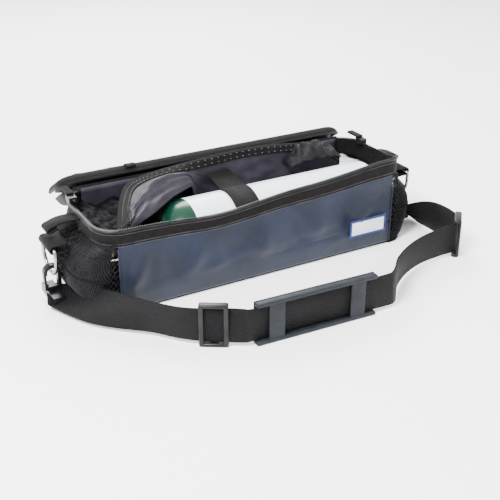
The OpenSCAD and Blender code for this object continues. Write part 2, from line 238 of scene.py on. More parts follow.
def make_materials(tints):
    """Every finish of the bag, in the colours that the user set."""
    MATERIALS.update({
        # Satin-woven nylon: tight threads that give a soft sheen on the folds
        "navy": woven("satin_nylon_woven", tints.navy_dark, tints.navy_light, 0.5, 1.1 * MM, 0.00005, 0.08,
                      18.0, "#5f78ab", 0.3),
        # Knitted polyester zip tape: coarse and dull; drawn at a 1.4 mm rib so that it shows
        "tape": woven("zip_tape_knitted", "#050505", "#141111", 0.75, 1.4 * MM, 0.00022,
                      0.02, 240.0, "#8c8480"),
        # Nylon lining over foam: thin, purple grey and slightly shiny on its folds
        "lining": woven("lining_nylon_woven", tints.lining_dark, tints.lining_light, 0.55, 0.9 * MM, 0.00003,
                        0.06, 40.0, "#9a94ab", 0.22),
        # Warp-knit polyester mesh: round black strands
        "mesh": moulded("mesh_polyester_knitted", "#070708", "#1a191d", 0.4),
        # Backing cloth behind the mesh
        "backing": woven("backing_cloth_woven", "#020202", "#070708", 0.8, 1.2 * MM, 0.0001, 0.0, 60.0),
        # Padded lid cover: dark nylon over foam, with soft gathers
        "cover": woven("lid_cover_nylon_woven", "#070709", "#17161b", 0.6, 1.2 * MM, 0.00008,
                       0.04, 60.0, spec=0.15),
        # Thin coated lining that crumples with small bright glints
        "backing_shiny": woven("coated_lining_crumpled", "#020203", "#070709", 0.62, 1.0 * MM, 0.00003,
                               0.0, 60.0, spec=0.05),
        # Woven polypropylene webbing: slanted ribs, drawn at 2.9 mm so that they show
        "webbing": ribbed("polypropylene_webbing_woven", "#010101", "#110f12", 0.65, 2.9 * MM, 0.0006),
        # Woven nylon webbing: narrower and flatter ribs than the shoulder strap's
        "retainer": ribbed("nylon_webbing_woven", "#030303", "#161413", 0.7, 2.6 * MM, 0.0004, 0.6),
        # Nylon monofilament coil: dark, with a small highlight on each tooth
        "coil": moulded("zip_coil_nylon", "#080809", "#1c1b1f", 0.35),
        # Extruded vinyl piping, smooth; its pale colour is a painted highlight that draws the thin bright
        # line along the left rim edge
        "piping": moulded("piping_vinyl_painted_highlight", "#24272a", "#3c4044", 0.3, 300.0, 0.00001),
        # Moulded acetal: fine grain and a soft shine on the rounded edges
        "acetal": moulded("acetal_moulded", "#060607", "#111013", 0.28),
        "buckle": moulded("acetal_buckle_moulded", "#0b0a0c", "#19181b", 0.34),
        # Moulded rubber: matt, a little blue, with a fine grain
        "rubber": moulded("pad_rubber_moulded", "#0e1115", "#191d24", 0.55, 1400.0, 0.0001),
        # Woven label cloth and its embroidered border: raised threads
        "label": woven("label_cloth_woven", "#ccd2db", "#e9edf2", 0.7, 0.8 * MM, 0.00008, 0.1, 50.0),
        "label_edge": woven("label_border_embroidered", "#1f2c5c", "#33447a", 0.6, 1.0 * MM, 0.0002,
                            0.2, 90.0),
        # Bonded polyester thread: paler than the tape, so that each stitch shows
        "thread": moulded("thread_bonded_polyester", "#4a484c", "#6d6a6f", 0.6),
        # Nickel-plated steel and turned brass: clear highlights with faint handling marks
        "steel": metal("steel_nickel_plated", "#85868c", 0.22),
        "brass": metal("brass_turned", "#b5894a", 0.3),
        # Moulded seal rubber and plain polypropylene sheet: dull, no visible grain
        "seal": moulded("seal_rubber_moulded", "#8e2a22", "#b03a2e", 0.5),
        "board": moulded("board_polypropylene_sheet", "#1a1a1b", "#262628", 0.6),
        # Sprayed enamel: a hard gloss, white and green
        "enamel": cylinder_enamel(),
        # Matt studio paper: no highlight
        "floor": moulded("floor_paper_matt", "#fdfdfd", "#ffffff", 0.9, 400.0, 0.00001),
    })


# ---- making meshes ----
def link_mesh(name, mesh, material):
    """Puts a finished mesh into the scene as one object."""
    made = bpy.data.objects.new(name, mesh)
    bpy.context.scene.collection.objects.link(made)
    mesh.materials.append(MATERIALS[material])
    return made


def link_bmesh(name, bm, material):
    """The same for a bmesh, which is freed."""
    mesh = bpy.data.meshes.new(name)
    bm.to_mesh(mesh)
    bm.free()
    return link_mesh(name, mesh, material)


def new_object(name, verts, faces, material, uvs=None):
    """An object with smooth shading from plain points and faces."""
    mesh = bpy.data.meshes.new(name)
    mesh.from_pydata([tuple(v) for v in verts], [], faces)
    mesh.update()
    made = link_mesh(name, mesh, material)
    mesh.polygons.foreach_set("use_smooth", [True] * len(mesh.polygons))
    if uvs:
        layer = mesh.uv_layers.new(name="UVMap")
        for loop in mesh.loops:
            layer.data[loop.index].uv = uvs[loop.vertex_index]
    return made


def grid_faces(across, down):
    """Four-sided faces between the points of a grid, row by row."""
    row = across + 1
    return [(j * row + i, j * row + i + 1, (j + 1) * row + i + 1, (j + 1) * row + i)
            for j in range(down) for i in range(across)]


def sheet(name, place, across, down, material, thick, offset=0.0):
    """A smooth sheet with a thickness: place(u, v) gives the point for u and v from 0 to 1."""
    verts = [place(i / across, j / down) for j in range(down + 1) for i in range(across + 1)]
    made = new_object(name, verts, grid_faces(across, down), material)
    shell = made.modifiers.new("thickness", "SOLIDIFY")
    shell.thickness = thick
    shell.offset = offset
    return made


def settle(made, body, replaced=()):
    """Ties a piece to its body, and hides the CAD nodes that it stands for."""
    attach(made, body)
    if replaced:
        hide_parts(*replaced)
    return made


def arc_points(radius, start, stop, step):
    """Pairs (radius times cosine, radius times sine) for a range of whole degrees."""
    return [(radius * math.cos(math.radians(a)), radius * math.sin(math.radians(a)))
            for a in range(start, stop, step)]


def smooth_path(points, steps):
    """Points along a Catmull-Rom curve through the given points."""
    points = [Vector(p) for p in points]
    found = []
    for i in range(len(points) - 1):
        a, b = points[max(i - 1, 0)], points[i]
        c, d = points[i + 1], points[min(i + 2, len(points) - 1)]
        for k in range(steps):
            t = k / steps
            found.append(0.5 * (2 * b + (c - a) * t + (2 * a - 5 * b + 4 * c - d) * t * t
                                + (3 * b - a - 3 * c + d) * t ** 3))
    return found + [points[-1]]


def ribbon(name, path, sides, width, thick, material):
    """A flat band swept along a path: sides is the direction across it, or gives one for a point's number."""
    half, deep = width / 2, thick / 2
    flat = half - deep / 2
    ring = [(-flat, -deep), (0, -deep), (flat, -deep), (half, 0),
            (flat, deep), (0, deep), (-flat, deep), (-half, 0)]
    verts, uvs, run = [], [], 0.0
    for k, point in enumerate(path):
        ahead = (path[min(k + 1, len(path) - 1)] - path[max(k - 1, 0)]).normalized()
        across = (sides(k) if callable(sides) else sides).normalized()
        across = (across - ahead * across.dot(ahead)).normalized()
        out = across.cross(ahead)
        if k:
            run += (point - path[k - 1]).length
        for a, b in ring:
            verts.append(point + across * a + out * b)
            uvs.append((run, a))
    size = len(ring)
    faces = [(k * size + i, k * size + (i + 1) % size, (k + 1) * size + (i + 1) % size, (k + 1) * size + i)
             for k in range(len(path) - 1) for i in range(size)]
    faces.append(tuple(range(size - 1, -1, -1)))
    faces.append(tuple((len(path) - 1) * size + i for i in range(size)))
    return new_object(name, verts, faces, material, uvs)


def tube(name, path, radius, material, loop=False, sides=10):
    """A round rod or cord swept along a path, closed on itself if loop is set."""
    verts, count = [], len(path)
    up = Vector((0.31, 0.17, 0.93))
    for k, point in enumerate(path):
        if loop:
            ahead = (path[(k + 1) % count] - path[k - 1]).normalized()
        else:
            ahead = (path[min(k + 1, count - 1)] - path[max(k - 1, 0)]).normalized()
        across = (up - ahead * up.dot(ahead)).normalized()
        up = across
        out = ahead.cross(across)
        for s in range(sides):
            a = 2 * math.pi * s / sides
            verts.append(point + (across * math.cos(a) + out * math.sin(a)) * radius)
    rings = count if loop else count - 1
    faces = [(k * sides + s, k * sides + (s + 1) % sides,
              ((k + 1) % count) * sides + (s + 1) % sides, ((k + 1) % count) * sides + s)
             for k in range(rings) for s in range(sides)]
    if not loop:
        faces.append(tuple(range(sides - 1, -1, -1)))
        faces.append(tuple((count - 1) * sides + s for s in range(sides)))
    return new_object(name, verts, faces, material)


def block_into(bm, size, matrix, round_by):
    """Adds a box with rounded edges to a bmesh."""
    part = bmesh.new()
    bmesh.ops.create_cube(part, size=1.0)
    bmesh.ops.scale(part, vec=Vector(size), verts=part.verts)
    if round_by:
        bmesh.ops.bevel(part, geom=part.edges[:], offset=round_by, segments=3, profile=0.5, affect="EDGES")
    bmesh.ops.transform(part, matrix=matrix, verts=part.verts)
    scrap = bpy.data.meshes.new("scrap")
    part.to_mesh(scrap)
    part.free()
    bm.from_mesh(scrap)
    bpy.data.meshes.remove(scrap)


def blocks(name, parts, material, turn=Matrix.Identity(4), round_by=0.8 * MM):
    """One object of several rounded boxes: each part is (centre, size) or (centre, size, rounding)."""
    bm = bmesh.new()
    for part in parts:
        rounding = part[2] if len(part) > 2 else round_by
        block_into(bm, part[1], turn @ Matrix.Translation(Vector(part[0])), rounding)
    made = link_bmesh(name, bm, material)
    made.data.polygons.foreach_set("use_smooth", [True] * len(made.data.polygons))
    made.data.set_sharp_from_angle(angle=math.radians(50))
    return made


def ease(t):
    """A smooth step from 0 to 1."""
    t = min(max(t, 0.0), 1.0)
    return t * t * (3 - 2 * t)


def crease(x, z, at, angle, width):
    """Height of one soft fold that runs through a point at an angle."""
    across = (x - at[0]) * math.sin(angle) - (z - at[1]) * math.cos(angle)
    along = (x - at[0]) * math.cos(angle) + (z - at[1]) * math.sin(angle)
    return math.exp(-(across / width) ** 2) * math.exp(-(along / (width * 5)) ** 2)


# ---- the mouth rim: a rounded rectangle whose height sags and lifts ----
def rim_height(x, y):
    """How far the rim stands above or below its nominal height."""
    t = x / HALF_L
    turn = ease((t - 0.7) / 0.3)
    front = 0.5 - 0.5 * math.tanh((y + (10 + 35 * turn) * MM) / ((25 - 12 * turn) * MM))
    sag = -11 * MM * math.exp(-((t + 0.35) / 0.42) ** 2) + 11 * MM * ease((t - 0.3) / 0.8)
    left = -4 * MM * ease((-t - 0.5) / 0.5)
    rear = 3 * MM * math.exp(-((t - 0.2) / 0.5) ** 2) - 4 * MM * ease((-t - 0.4) / 0.5)
    return front * (sag + left) + (1 - front) * rear


def rim_plan(grow=0.0):
    """The rim outline as plan points, from the rear right corner round the front to the rear left."""
    length, depth, r = MOUTH_L + grow, HALF_D + grow, MOUTH_R + grow
    points = []

    def arc(cx, cy, start, end, steps):
        for k in range(steps + 1):
            a = math.radians(start + (end - start) * k / steps)
            points.append(Vector((cx + r * math.cos(a), cy + r * math.sin(a), 0)))
    arc(length - r, depth - r, 90, 0, 10)
    arc(length - r, -depth + r, 0, -90, 10)
    arc(-length + r, -depth + r, -90, -180, 10)
    arc(-length + r, depth - r, 180, 90, 10)
    return even(points, RIM_STEP)


def even(points, step):
    """The same line with points at an even step."""
    found, spare = [points[0]], 0.0
    for a, b in zip(points, points[1:]):
        length = (b - a).length
        at = step - spare
        while at < length:
            found.append(a.lerp(b, at / length))
            at += step
        spare = (spare + length) % step
    return found


def on_rim(point, up=0.0):
    """A plan point lifted to the rim's top edge."""
    return Vector((point.x, point.y, RIM_Z + rim_height(point.x, point.y) + up))


def outward(path, k):
    """The direction away from the mouth at a point of its outline."""
    ahead = (path[min(k + 1, len(path) - 1)] - path[max(k - 1, 0)]).normalized()
    return Vector((-ahead.y, ahead.x, 0))


def make_rim(stitch_gap):
    """Zip tape round the mouth with its three rows of stitches."""
    path = rim_plan(-0.6 * MM)
    count = len(path) - 1

    def band(u, v):
        k = min(int(u * count), count)
        flat = path[k]
        base = on_rim(flat)
        low = BAND_LOW.z - 3 * MM + 0.75 * rim_height(flat.x, flat.y)
        out = outward(path, k)
        away = 0.9 * MM * math.sin(math.pi * v) + 0.5 * MM * noise(Vector((flat.x * 60, flat.y * 60, v)))
        return Vector((flat.x, flat.y, low + (base.z - low) * v)) + out * away
    made = sheet("rim_zip_tape", band, count, 8, "tape", 1.6 * MM)
    settle(made, "root", ["front_zip_band", "left_end_band", "right_end_band"])
    for number, share in enumerate((0.16, 0.30, 0.84)):
        places = []
        step = max(1, int(round(stitch_gap / RIM_STEP)))
        for k in range(2, count - 2, step):
            places.append((band(k / count, share) + outward(path, k) * 1.1 * MM, path[k + 1] - path[k]))
        stitch_line(f"rim_stitches_{number}", places, 1.5 * MM, 0.28 * MM, "root")
    return path


def stitch_line(name, places, length, radius, body):
    """A row of short rounded stitches as one piece: places holds (centre, direction)."""
    verts, faces = [], []
    for centre, ahead in places:
        ahead = ahead.normalized()
        side = ahead.cross(Vector((0, 0, 1)))
        side = side.normalized() if side.length > 0.1 else Vector((1, 0, 0))
        up = side.cross(ahead)
        base = len(verts)
        for t, r in ((-0.5, 0.35), (-0.25, 1.0), (0.25, 1.0), (0.5, 0.35)):
            for s in range(5):
                a = 2 * math.pi * s / 5
                around = side * math.cos(a) + up * math.sin(a)
                verts.append(centre + ahead * length * t + around * radius * r)
        for k in range(3):
            for s in range(5):
                faces.append((base + k * 5 + s, base + k * 5 + (s + 1) % 5,
                              base + k * 5 + 5 + (s + 1) % 5, base + k * 5 + 5 + s))
        faces.append(tuple(base + s for s in range(4, -1, -1)))
        faces.append(tuple(base + 15 + s for s in range(5)))
    return settle(new_object(name, verts, faces, "thread"), body)


def zip_teeth(name, path, lift, out_of, body, replaced, pitch):
    """A row of coil teeth standing on a line."""
    bm = bmesh.new()
    line = even(path, pitch)
    for k in range(1, len(line) - 1):
        ahead = (line[k + 1] - line[k - 1]).normalized()
        out = out_of(line, k)
        up = out.cross(ahead)
        frame_matrix = Matrix((ahead, out, up)).transposed().to_4x4()
        frame_matrix.translation = line[k] + Vector((0, 0, lift))
        block_into(bm, (pitch * 0.56, 2.5 * MM, 2.6 * MM), frame_matrix, 0.0)
    bmesh.ops.bevel(bm, geom=bm.edges[:], offset=0.25 * MM, segments=1, affect="EDGES")
    return settle(link_bmesh(name, bm, "coil"), body, replaced)


# ---- settings a user would change ----
class BagColours(bpy.types.PropertyGroup):
    """Cloth colours, as sRGB hex"""
    navy_dark: bpy.props.StringProperty(
        name="Navy shade", description="sRGB hex of the nylon in shade", default="#0a0e18")
    navy_light: bpy.props.StringProperty(
        name="Navy light", description="sRGB hex of the nylon in light", default="#182135")
    lining_dark: bpy.props.StringProperty(
        name="Lining shade", description="sRGB hex of the lining in shade", default="#141219")
    lining_light: bpy.props.StringProperty(
        name="Lining light", description="sRGB hex of the lining in light", default="#292630")


class BagSizes(bpy.types.PropertyGroup):
    """Fine sizes of the cloth, net, stitches and zip"""
    wrinkle: bpy.props.FloatProperty(
        name="Wrinkle depth", description="Height of the folds in the nylon",
        default=4.6 * MM, min=0, max=10 * MM, unit="LENGTH")
    cloth: bpy.props.FloatProperty(
        name="Cloth thickness", description="Thickness of the shell cloth",
        default=0.9 * MM, min=0.3 * MM, max=3 * MM, unit="LENGTH")
    mesh_pitch: bpy.props.FloatProperty(
        name="Mesh pitch", description="Spacing of the holes in the mesh ends",
        default=4.0 * MM, min=1 * MM, max=6 * MM, unit="LENGTH")
    strand: bpy.props.FloatProperty(
        name="Mesh strand", description="Thickness of one mesh strand",
        default=1.25 * MM, min=0.3 * MM, max=2 * MM, unit="LENGTH")
    stitch_gap: bpy.props.FloatProperty(
        name="Stitch spacing", description="Distance from one stitch to the next",
        default=3.0 * MM, min=1 * MM, max=10 * MM, unit="LENGTH")
    tooth_pitch: bpy.props.FloatProperty(
        name="Tooth pitch", description="Distance from one zip tooth to the next",
        default=2.6 * MM, min=1 * MM, max=5 * MM, unit="LENGTH")


class PieceOperator:
    """Shared by the operators: the sizes to work with."""
    bl_options = {"UNDO"}

    @property
    def sizes(self):
        """The sizes that the user set."""
        return bpy.context.scene.bag_sizes


class BAG_OT_stage(PieceOperator, bpy.types.Operator):
    """Floor, soft studio light and the camera"""
    bl_idname = "bag.stage"
    bl_label = "Stage"

    def execute(self, context):
        reach = 6.0
        corners = [(-reach, -reach, 0), (reach, -reach, 0), (reach, reach, 0), (-reach, reach, 0)]
        new_object("floor", corners, [(0, 1, 2, 3)], "floor")
        world = bpy.data.worlds.new("studio")
        context.scene.world = world
        world.use_nodes = True
        sky = world.node_tree.nodes["Background"]
        sky.inputs["Color"].default_value = (1, 1, 1, 1)
        sky.inputs["Strength"].default_value = 2.0
        lamps = [("key", (-0.9, -0.5, 1.3), 0.5, 75.0), ("fill", (1.3, -0.7, 0.9), 1.2, 24.0),
                 ("rim", (0.3, 1.3, 1.2), 0.9, 50.0)]
        for name, place, size, power in lamps:
            data = bpy.data.lights.new(name, "AREA")
            data.size, data.energy = size, power
            lamp = bpy.data.objects.new(name, data)
            context.scene.collection.objects.link(lamp)
            lamp.location = place
            aim = Vector((0, 0, 0.05)) - Vector(place)
            lamp.rotation_euler = aim.to_track_quat("-Z", "Y").to_euler()
        lens = bpy.data.cameras.new("camera")
        lens.lens = 64.75
        camera = bpy.data.objects.new("camera", lens)
        context.scene.collection.objects.link(camera)
        tilt, turn, away = math.radians(26.27), math.radians(29.47), 1.0857
        ahead = Vector((math.sin(turn) * math.cos(tilt), math.cos(turn) * math.cos(tilt), -math.sin(tilt)))
        right = Vector((math.cos(turn), -math.sin(turn), 0))
        up = right.cross(ahead)
        aside, above = 12.145 * MM, 6.193 * MM
        camera.location = right * aside + up * above - ahead * away
        camera.rotation_mode = "QUATERNION"
        camera.rotation_quaternion = ahead.to_track_quat("-Z", "Y")
        context.scene.camera = camera
        return {"FINISHED"}


def top_of_panel(x):
    """Height of the front panel's upper edge."""
    return BAND_LOW.z + 0.75 * rim_height(x, -HALF_D)


class BAG_OT_panels(PieceOperator, bpy.types.Operator):
    """Navy front, rear and base panels with their folds"""
    bl_idname = "bag.panels"
    bl_label = "Navy panels"

    def execute(self, context):
        depth = self.sizes.wrinkle
        # each fold: the x and z that it runs through, its angle, its half width and its height as a share
        folds = [((-0.155, 0.045), 1.25, 0.010, 0.9), ((-0.12, 0.055), 1.9, 0.012, -0.6),
                 ((-0.085, 0.05), 1.1, 0.011, 0.8), ((-0.045, 0.06), 1.75, 0.013, -0.7),
                 ((0.0, 0.052), 1.35, 0.012, 0.6), ((0.04, 0.06), 2.0, 0.010, -0.8),
                 ((0.075, 0.066), 1.2, 0.012, 0.7), ((0.11, 0.06), 1.7, 0.012, -0.7),
                 ((0.145, 0.07), 1.0, 0.010, 0.9), ((-0.06, 0.03), 0.25, 0.007, 0.6),
                 ((0.05, 0.032), 0.15, 0.007, -0.5), ((-0.14, 0.02), 0.1, 0.006, 0.5),
                 ((0.1, 0.022), 0.28, 0.006, 0.7)]

        def swell(x, z):
            """Height of the folds at a point, as a share of the wrinkle depth."""
            body = sum(high * crease(x, z, at, angle, wide) for at, angle, wide, high in folds)
            ripple = 0.45 * noise(Vector((x * 26, z * 9, 3.1))) + 0.2 * noise(Vector((x * 70, z * 34, 8.2)))
            return body + ripple

        def front(u, v):
            x = -HALF_L + 2 * HALF_L * u
            top = top_of_panel(x)
            if v < 0.12:
                roll = (1 - v / 0.12)
                return Vector((x, -HALF_D + 8 * MM * roll + 1 * MM, 1.2 * MM + 5 * MM * (1 - ease(roll * 2))))
            rise = (v - 0.12) / 0.88
            z = 3 * MM + (top - 3 * MM) * rise
            loose = math.sin(math.pi * min(1, rise * 1.05)) ** 0.7
            smooth_band = 0.25 + 0.75 * ease((z - 22 * MM) / (16 * MM))
            ends = min(1, min(u, 1 - u) / 0.04)
            fold = 2.2 * MM * math.exp(-((z - 27 * MM - 0.02 * x) / (2.2 * MM)) ** 2) * ease((x + 0.02) / 0.1)
            out = depth * swell(x, z) * loose * smooth_band * ends + 2.4 * MM * loose * ends
            return Vector((x, -HALF_D - out + fold * 0.6, z))
        panel = sheet("navy_front", front, 230, 62, "navy", self.sizes.cloth, 1.0)
        settle(panel, "root", ["front_panel"])

        def rear(u, v):
            x = HALF_L - 2 * HALF_L * u
            z = 2 * MM + (RIM_Z - 2 * MM) * v
            loose = math.sin(math.pi * v) ** 0.7 * min(1, min(u, 1 - u) / 0.04)
            return Vector((x, HALF_D + (0.7 * depth * swell(-x, z * 0.8) + 1.6 * MM) * loose, z))
        back = sheet("navy_rear", rear, 160, 44, "navy", self.sizes.cloth, 1.0)
        settle(back, "root", ["rear_panel", "rear_top_band"])

        def base(u, v):
            x, y = (u - 0.5) * 2 * (HALF_L - 0.3 * MM), (v - 0.5) * 2 * (HALF_D - 2.5 * MM)
            return Vector((x, y, 0.3 * MM + 0.25 * MM * (1 + noise(Vector((x * 22, y * 30, 1))))))
        under = sheet("navy_base", base, 90, 30, "navy", 1.2 * MM, -1.0)
        settle(under, "root", ["base_panel"])
        for side, word in SIDES:
            line = [Vector((side * (HALF_L + 0.5 * MM), -HALF_D - 1.2 * MM, z * MM)) for z in range(4, 78, 3)]
            seam = tube(f"seam_piping_{word}", smooth_path(line, 2), 0.9 * MM, "navy")
            settle(seam, "root")
        return {"FINISHED"}


def end_reach(z):
    """How far the mesh end bulges past the panel at a height: keys are metres up and millimetres out."""
    keys = [(0.0, 27), (0.012, 37), (0.03, 44), (0.05, 44.5), (0.066, 36), (0.08, 20.5), (0.1, 18)]
    for (z0, r0), (z1, r1) in zip(keys, keys[1:]):
        if z <= z1:
            t = ease((z - z0) / (z1 - z0))
            return (r0 + (r1 - r0) * t) * MM
    return keys[-1][1] * MM


def end_point(side, u, z, inset=0.0):
    """A point on the bulging end: u runs from the front seam round to the rear seam."""
    reach, depth = end_reach(z) - inset, HALF_D - inset
    angle = math.pi * (u - 0.5)
    power = 0.62
    cx = math.copysign(abs(math.cos(angle)) ** power, math.cos(angle))
    sy = math.copysign(abs(math.sin(angle)) ** power, math.sin(angle))
    dent = 2.2 * MM * noise(Vector((u * 5 + side * 9, z * 40, 2.0))) * math.sin(math.pi * u)
    return Vector((side * (HALF_L + max(reach * cx + dent, 0.2 * MM)), sy * (depth - 0.6 * MM), z))


class BAG_OT_mesh_ends(PieceOperator, bpy.types.Operator):
    """Open mesh ends with their backing pockets"""
    bl_idname = "bag.mesh_ends"
    bl_label = "Mesh ends"

    def execute(self, context):
        for side, word in SIDES:
            self.add_net(side, word)
            self.add_pocket(side, word)
            self.add_seams(side, word)
            self.add_floor(side, word)
        return {"FINISHED"}

    def add_net(self, side, word):
        """Knitted net: triangles turned into strands, with about half of the level edges left out."""
        foot, top = 1.5 * MM, BAND_LOW.z + 3 * MM
        pitch = self.sizes.mesh_pitch
        across, down = int(0.2 / pitch), int(0.092 / pitch)
        verts, faces = [], []
        for j in range(down + 1):
            for i in range(across + 1):
                shift = 0.5 if j % 2 else 0.0
                u = min(1.0, (i + shift) / across)
                sag = 0.6 * rim_height(side * HALF_L, -HALF_D * math.cos(math.pi * u))
                verts.append(end_point(side, u, foot + (top + sag - foot) * j / down))
        for k, (a, b, c, d) in enumerate(grid_faces(across, down)):
            even_row = (k // across) % 2 == 0
            faces += [(a, b, d), (b, c, d)] if even_row else [(a, b, c), (a, c, d)]
        net = new_object(f"{word}_end_net", verts, faces, "mesh")
        bm = bmesh.new()
        bm.from_mesh(net.data)
        inner = [edge for edge in bm.edges if len(edge.link_faces) == 2]
        level = [edge for edge in inner if abs(edge.verts[0].co.z - edge.verts[1].co.z) < 0.2 * MM]
        drop = [edge for edge in level if (edge.index + int(edge.verts[0].co.z * 1e4)) % 2]
        bmesh.ops.dissolve_edges(bm, edges=drop, use_verts=False)
        bm.to_mesh(net.data)
        bm.free()
        wire = net.modifiers.new("strands", "WIREFRAME")
        wire.thickness = self.sizes.strand
        wire.use_even_offset = False
        wire.use_replace = True
        settle(net, "root", [f"{word}_mesh_end"])

    def add_pocket(self, side, word):
        """Backing cloth behind the net, cut lower at the front on the left."""
        def pocket(u, v):
            tall = 62 + 17 * ease((u - 0.2) / 0.12) if side < 0 else 48 + 12 * math.sin(u * 7)
            return end_point(side, 0.03 + 0.94 * u, (2 + tall * v) * MM, 3.2 * MM)
        lined = sheet(f"{word}_end_pocket", pocket, 70, 26, "backing", 0.8 * MM)
        settle(lined, "root")

    def add_seams(self, side, word):
        """The seam across the net and the binding at its foot."""
        steps, seam = 40, []
        for k in range(steps + 1):
            high = 40 * MM + 6 * MM * math.sin(k / steps * math.pi)
            seam.append(end_point(side, 0.03 + 0.94 * k / steps, high, -0.6 * MM))
        settle(tube(f"{word}_end_seam", seam, 1.1 * MM, "backing"), "root")
        foot = [end_point(side, k / steps, 2.2 * MM, -0.2 * MM) for k in range(steps + 1)]
        settle(tube(f"{word}_end_foot_binding", foot, 1.6 * MM, "backing"), "root")

    def add_floor(self, side, word):
        """Cloth under the bulging end."""
        def floor_cloth(u, v):
            edge = end_point(side, u, 2 * MM, 1 * MM)
            inner = Vector((side * (HALF_L - 1 * MM), edge.y, 1.2 * MM))
            return inner.lerp(Vector((edge.x, edge.y, 1.6 * MM)), v)
        under = sheet(f"{word}_end_floor", floor_cloth, 40, 8, "backing", 0.8 * MM)
        settle(under, "root")


class BAG_OT_rim(PieceOperator, bpy.types.Operator):
    """Zip tape, piping, stitches and teeth round the mouth; the pale piping on the left end is a painted
    highlight on the rim edge
    """
    bl_idname = "bag.rim"
    bl_label = "Mouth rim"

    def execute(self, context):
        path = make_rim(self.sizes.stitch_gap)
        line = [on_rim(p, 0.7 * MM) for p in path]
        zip_teeth("rim_zip_teeth", line, 0.1 * MM, outward, "root",
                  ["front_zip_chain", "left_zip_chain", "right_zip_chain"], self.sizes.tooth_pitch)
        cord = [on_rim(p, -0.4 * MM) + outward(path, k) * 1.3 * MM for k, p in enumerate(path)]
        settle(tube("rim_bead", cord, 0.9 * MM, "coil", sides=8), "root")
        # pale piping on the left end only: a real edge cord whose light colour is a painted highlight along
        # the rim there
        left = [c + Vector((0, 0, 1.8 * MM)) for c, p in zip(cord, path) if p.x < -HALF_L + 4 * MM]
        settle(tube("left_rim_piping_painted_highlight", left, 0.95 * MM, "piping", sides=10), "root")
        return {"FINISHED"}


def press_down(piece):
    """Gives the piece its own copy of its mesh."""
    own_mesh(piece)


# the sleeve's top edge runs from the front left corner, up to the rear and down at the right
SLEEVE_TOP = smooth_path([
    (-0.170, -0.0500, 0.0885), (-0.158, -0.0220, 0.0925), (-0.142, 0.0100, 0.0985), (-0.122, 0.0360, 0.1035),
    (-0.085, 0.0475, 0.1065), (-0.020, 0.0500, 0.1100), (0.040, 0.0505, 0.1115), (0.100, 0.0500, 0.1075),
    (0.135, 0.0480, 0.1010), (0.158, 0.0445, 0.0910), (0.170, 0.0420, 0.0820)], 14)
SLEEVE_COUNT = len(SLEEVE_TOP) - 1
# its free edge over the cylinder, as shares of the top edge's length and places
SLEEVE_FLAP = [(0.00, (-0.166, -0.0515, 0.0862)), (0.12, (-0.144, -0.0340, 0.0835)),
               (0.25, (-0.112, -0.0100, 0.0830)), (0.36, (-0.078, 0.0140, 0.0865)),
               (0.46, (-0.042, 0.0300, 0.0900))]


def sleeve_number(u):
    """The number of the top edge's point nearest to a share of its length."""
    return min(int(round(u * SLEEVE_COUNT)), SLEEVE_COUNT)


def sleeve_inward(k):
    """The level direction into the bag, square to the top edge."""
    ahead = (SLEEVE_TOP[min(k + 1, SLEEVE_COUNT)] - SLEEVE_TOP[max(k - 1, 0)]).normalized()
    return Vector((ahead.y, -ahead.x, 0)).normalized()


def flap_edge(t):
    """A point on the flap's free edge."""
    for (t0, a), (t1, b) in zip(SLEEVE_FLAP, SLEEVE_FLAP[1:]):
        if t <= t1:
            return Vector(a).lerp(Vector(b), (t - t0) / (t1 - t0))
    return Vector(SLEEVE_FLAP[-1][1])


def low_edge(k):
    """The free edge that hangs over the cylinder, then the foot of the rear wall."""
    t, head = k / SLEEVE_COUNT, SLEEVE_TOP[k]
    foot = Vector((head.x, head.y + 3 * MM, 8 * MM))
    return flap_edge(t).lerp(foot, ease((t - 0.44) / 0.1))


def sleeve(u, v):
    """A point on the puffed and folded sleeve: v runs from its low edge to its top edge."""
    k = sleeve_number(u)
    point = low_edge(k).lerp(SLEEVE_TOP[k], v)
    over = 1 - ease((u - 0.40) / 0.14)
    face = (sleeve_inward(k) * (1 - 0.55 * over) + Vector((0, 0, 0.85 * over))).normalized()
    crown = max(math.sin(math.pi * min(1, 0.04 + v * 0.96)), 0.0) ** 0.7
    puff = crown * (1 - over * (1 - ease((1 - v) / 0.4)))
    wave = 1.6 * noise(Vector((u * 7, v * 3, 4)))
    long_folds = math.sin(v * 15 + wave * 2.2) + 0.5 * math.sin(v * 31 + u * 9 + wave * 3)
    broad, fine = noise(Vector((u * 11, v * 3.2, 1.7))), noise(Vector((u * 34, v * 11, 9.7)))
    soft_folds = 2.0 * broad + 0.8 * fine
    over_folds, back_folds = 1.2 * long_folds + soft_folds, 1.6 * soft_folds + 0.5 * long_folds
    folds = over * over_folds + (1 - over) * back_folds
    return point + face * ((6.0 * over + 3.0) * MM * puff + 1.25 * MM * folds * puff)


def on_sleeve(k, drop, lift):
    """A point on the sleeve's face, a distance below its top edge and just proud of it."""
    span = (SLEEVE_TOP[k] - low_edge(k)).length
    face = (sleeve_inward(k) + Vector((0, 0, 0.9))).normalized()
    return sleeve(k / SLEEVE_COUNT, 1 - drop / span) + face * lift


